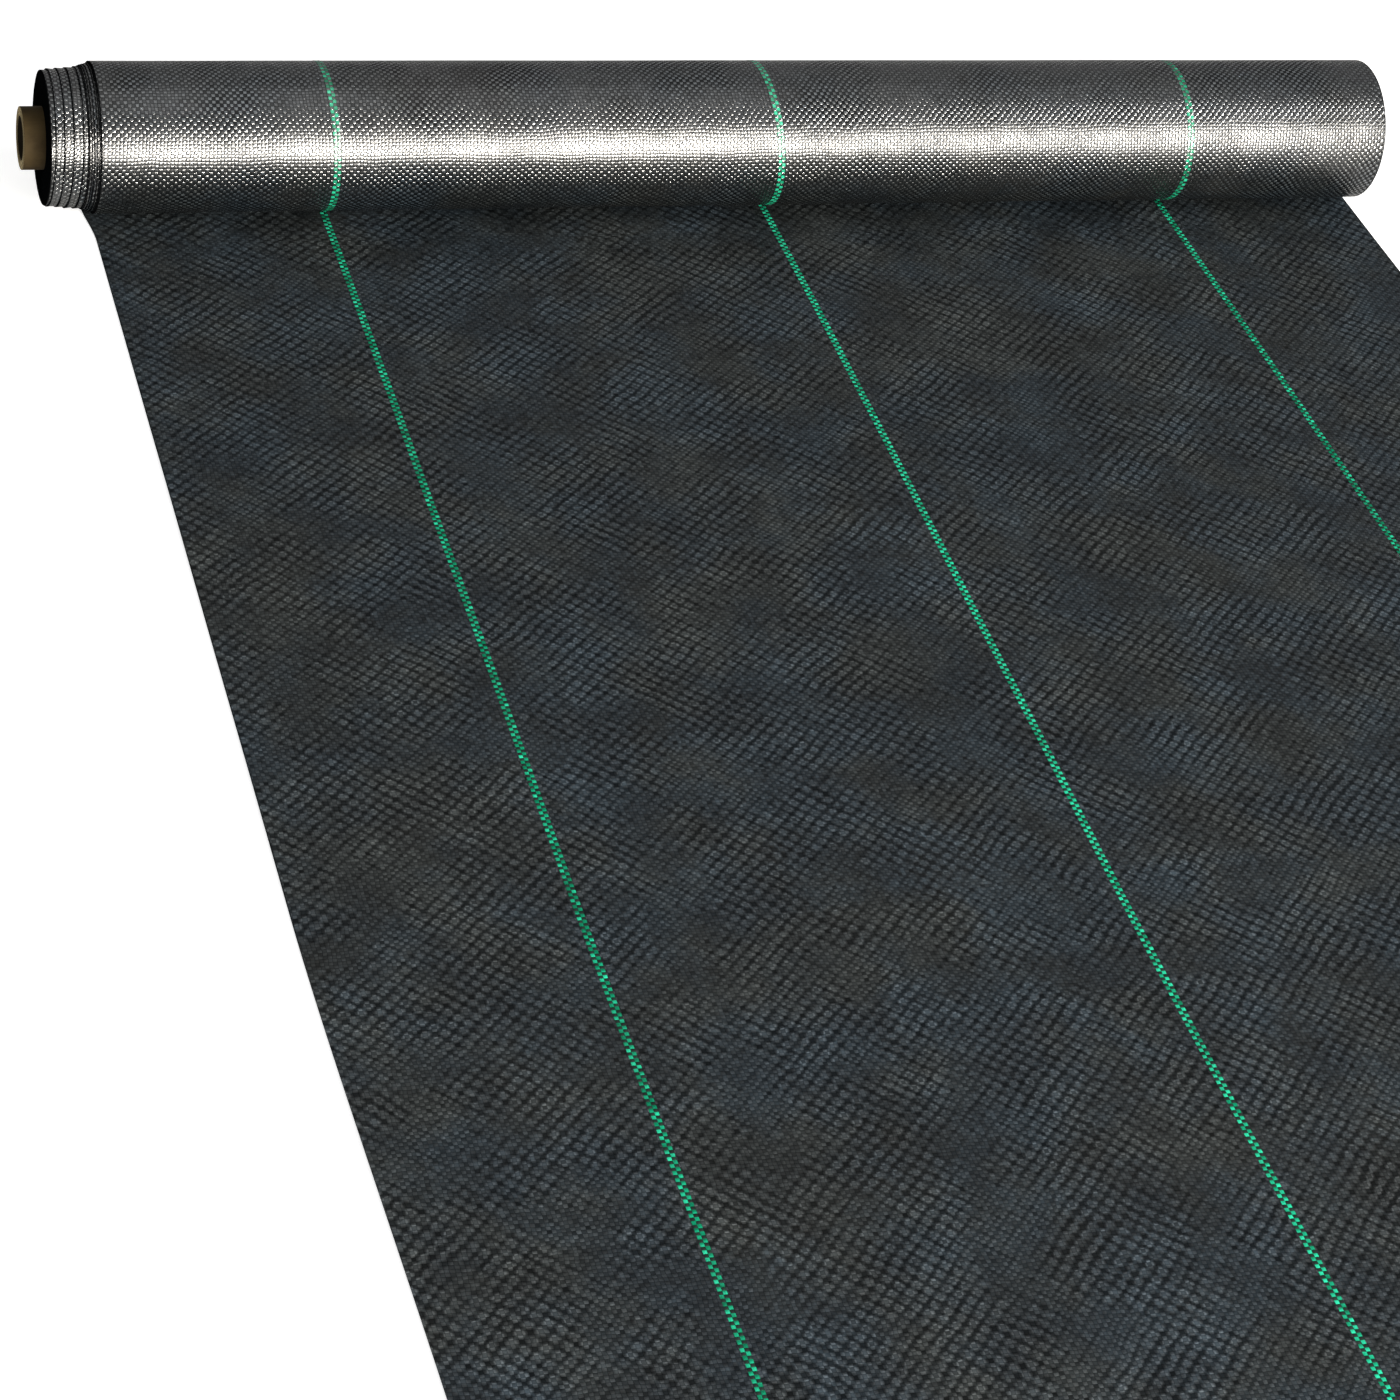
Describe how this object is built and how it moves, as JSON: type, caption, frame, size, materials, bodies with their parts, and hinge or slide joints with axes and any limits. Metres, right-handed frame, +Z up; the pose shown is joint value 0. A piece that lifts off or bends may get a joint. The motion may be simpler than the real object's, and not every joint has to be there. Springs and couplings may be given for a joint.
{
  "type": "weed control fabric roll",
  "caption": "Roll of black woven weed control fabric on a cardboard core, partly unrolled flat on the ground, with green marker lines along its length.",
  "frame": {"origin": "middle of the whole object's footprint, on the ground under the laid sheet", "axes": "+X along the roll, from the end where the core stands out to the other; +Y from the cut end of the laid sheet to the roll; +Z up"},
  "size_m": [0.9594, 1.2685, 0.0992],
  "materials": {
    "black_fabric": "woven flat tapes, semi-gloss",
    "green_marker": "woven flat tapes, semi-gloss",
    "cardboard": "matt kraft board"
  },
  "bodies": {
    "laid_sheet": {"laid_panel_1": "black_fabric", "laid_marker_line_1": "green_marker", "laid_panel_2": "black_fabric", "laid_marker_line_2": "green_marker", "laid_panel_3": "black_fabric", "laid_marker_line_3": "green_marker", "laid_panel_4": "black_fabric"},
    "turn_up": {"turn_up_panel_1": "black_fabric", "turn_up_marker_line_1": "green_marker", "turn_up_panel_2": "black_fabric", "turn_up_marker_line_2": "green_marker", "turn_up_panel_3": "black_fabric", "turn_up_marker_line_3": "green_marker", "turn_up_panel_4": "black_fabric"},
    "wound_roll": {"outer_wraps_panel_1": "black_fabric", "outer_wraps_marker_line_1": "green_marker", "outer_wraps_panel_2": "black_fabric", "outer_wraps_marker_line_2": "green_marker", "outer_wraps_panel_3": "black_fabric", "outer_wraps_marker_line_3": "green_marker", "outer_wraps_panel_4": "black_fabric", "telescoped_wraps": "black_fabric"},
    "core_and_windings": {"inner_windings": "black_fabric", "core": "cardboard"}
  },
  "joints": [
    {"name": "roll_travel", "type": "slide", "parent": "laid_sheet", "child": "turn_up", "axis": [0, -1, 0], "range_m": [0, 1.1], "deforming": ["laid_panel_1", "laid_marker_line_1", "laid_panel_2", "laid_marker_line_2", "laid_panel_3", "laid_marker_line_3", "laid_panel_4"]},
    {"name": "roll_turn", "type": "hinge", "parent": "turn_up", "child": "wound_roll", "pos_m": [0, 0.58493, 0.0502], "axis": [1, 0, 0], "range_deg": [0, 1261]},
    {"name": "telescope", "type": "slide", "parent": "wound_roll", "child": "core_and_windings", "axis": [1, 0, 0], "range_m": [0, 0.031], "deforming": ["telescoped_wraps"]}
  ],
  "couplings": [
    {"joint": "roll_turn", "follows": "roll_travel", "rad_per_m": 20}
  ]
}
